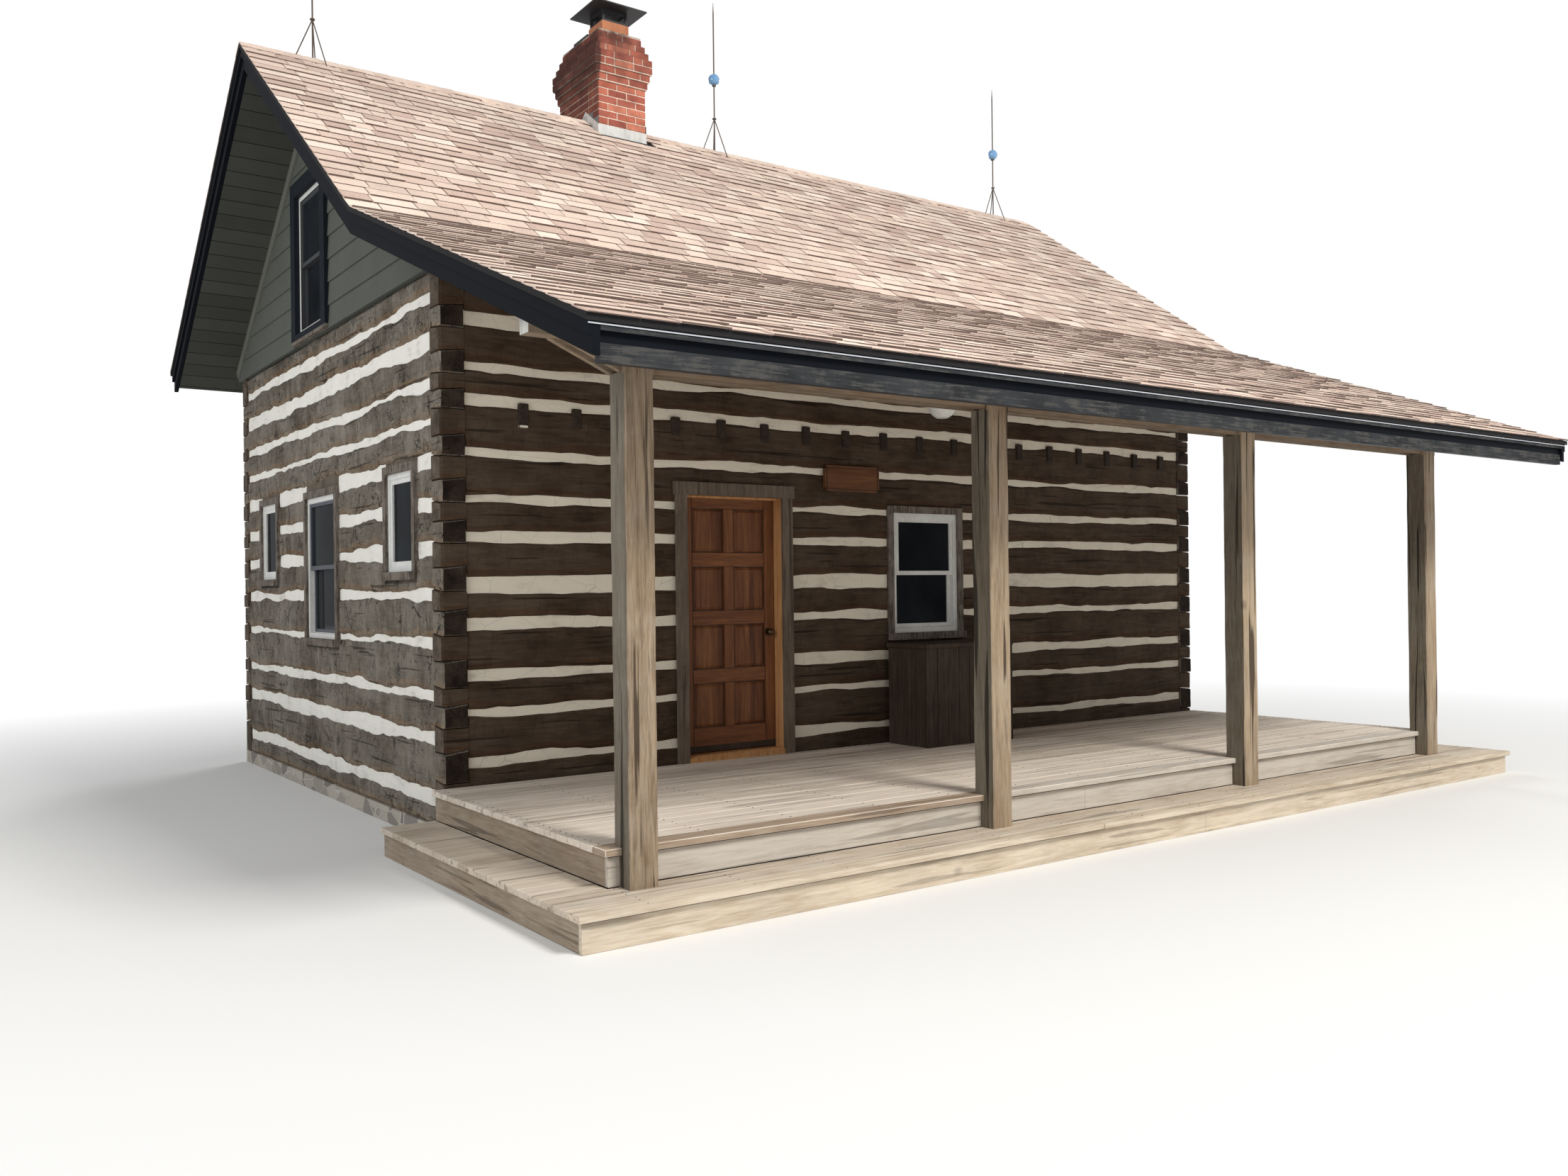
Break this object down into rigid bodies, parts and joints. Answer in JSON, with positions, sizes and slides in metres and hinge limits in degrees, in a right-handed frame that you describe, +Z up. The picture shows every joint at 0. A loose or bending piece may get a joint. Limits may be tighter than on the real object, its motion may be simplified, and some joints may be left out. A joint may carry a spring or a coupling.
{
  "type": "log cabin",
  "caption": "Gabled log cabin with hewn corner-notched logs, chinking, a panelled front door, a full-length porch under a lower-pitched roof, a brick chimney and ridge lightning rods",
  "frame": {"origin": "on the ground, under the middle of the whole building's bounding box", "axes": "+Z up, -Y is the porch front with the door, +X is to the right when facing the porch front, the ridge runs along X"},
  "size_m": [9.453, 9.446, 7.914],
  "materials": {
    "stone": "rough mortared stone",
    "floor_wood": "worn plain floor boards",
    "log_wood": "hewn logs, dark brown, weathered",
    "gable_log_wood": "hewn logs, grey brown, weathered",
    "chinking": "cream lime mortar, trowelled",
    "framing_wood": "sawn timber, tan",
    "siding": "grey-green painted horizontal boards",
    "shingle": "mineral shingles, mixed tan and brown",
    "fascia": "near black gloss paint, weathered lower edge",
    "soffit": "dark grey-green boards",
    "post_wood": "weathered light brown timber",
    "deck_wood": "weathered deck boards",
    "door_wood": "reddish brown stained panels",
    "jamb_wood": "light orange timber",
    "brass": "dull brass",
    "window_white": "white frame",
    "glass": "clear pane over a dark room",
    "trim_wood": "weathered brown boards",
    "brick": "red brick with light mortar",
    "clay": "orange fired clay",
    "black_metal": "black painted sheet",
    "flashing": "pale painted sheet",
    "rod_metal": "dark twisted rod",
    "blue_glass": "blue glass ball",
    "sign_wood": "orange brown stained board",
    "box_wood": "dark brown boards",
    "lamp_white": "white enamel"
  },
  "bodies": {
    "house": {"foundation": "stone", "main_floor": "floor_wood", "loft_joists": "framing_wood", "loft_floor": "floor_wood", "front_logs_left": "log_wood", "front_logs_right": "log_wood", "doorway_logs": "log_wood", "front_logs_top": "log_wood", "rear_logs": "log_wood", "left_logs": "gable_log_wood", "right_logs": "gable_log_wood", "wall_chinking": "chinking", "wall_plates": "framing_wood", "gable_walls": "siding", "main_rafters": "framing_wood", "ridge_board": "framing_wood", "porch_beam": "post_wood", "porch_rafters": "framing_wood", "front_roof": "shingle", "rear_roof": "shingle", "porch_roof": "shingle", "rake_boards": "fascia", "eave_fascias": "fascia", "soffits": "soffit", "porch_posts": "post_wood", "porch_deck": "deck_wood", "deck_frame": "deck_wood", "step_treads": "deck_wood", "door_frame": "jamb_wood", "door_casing": "trim_wood", "hinge_pins": "brass", "window_frames": "window_white", "window_glass": "glass", "window_trims": "trim_wood", "chimney": "brick", "chimney_flue": "clay", "chimney_cap": "black_metal", "chimney_flashing": "flashing", "lightning_rods": "rod_metal", "rod_balls": "blue_glass", "sign_board": "sign_wood", "wood_box": "box_wood", "lamp_stem": "lamp_white", "lamp_shade": "lamp_white"},
    "door": {"door_leaf": "door_wood", "door_fittings": "brass"}
  },
  "joints": [
    {"name": "door_hinge", "type": "hinge", "parent": "house", "child": "door", "pos_m": [-2.1512, -1.149, 1.46], "axis": [0, 0, 1], "range_deg": [0, 100]}
  ]
}
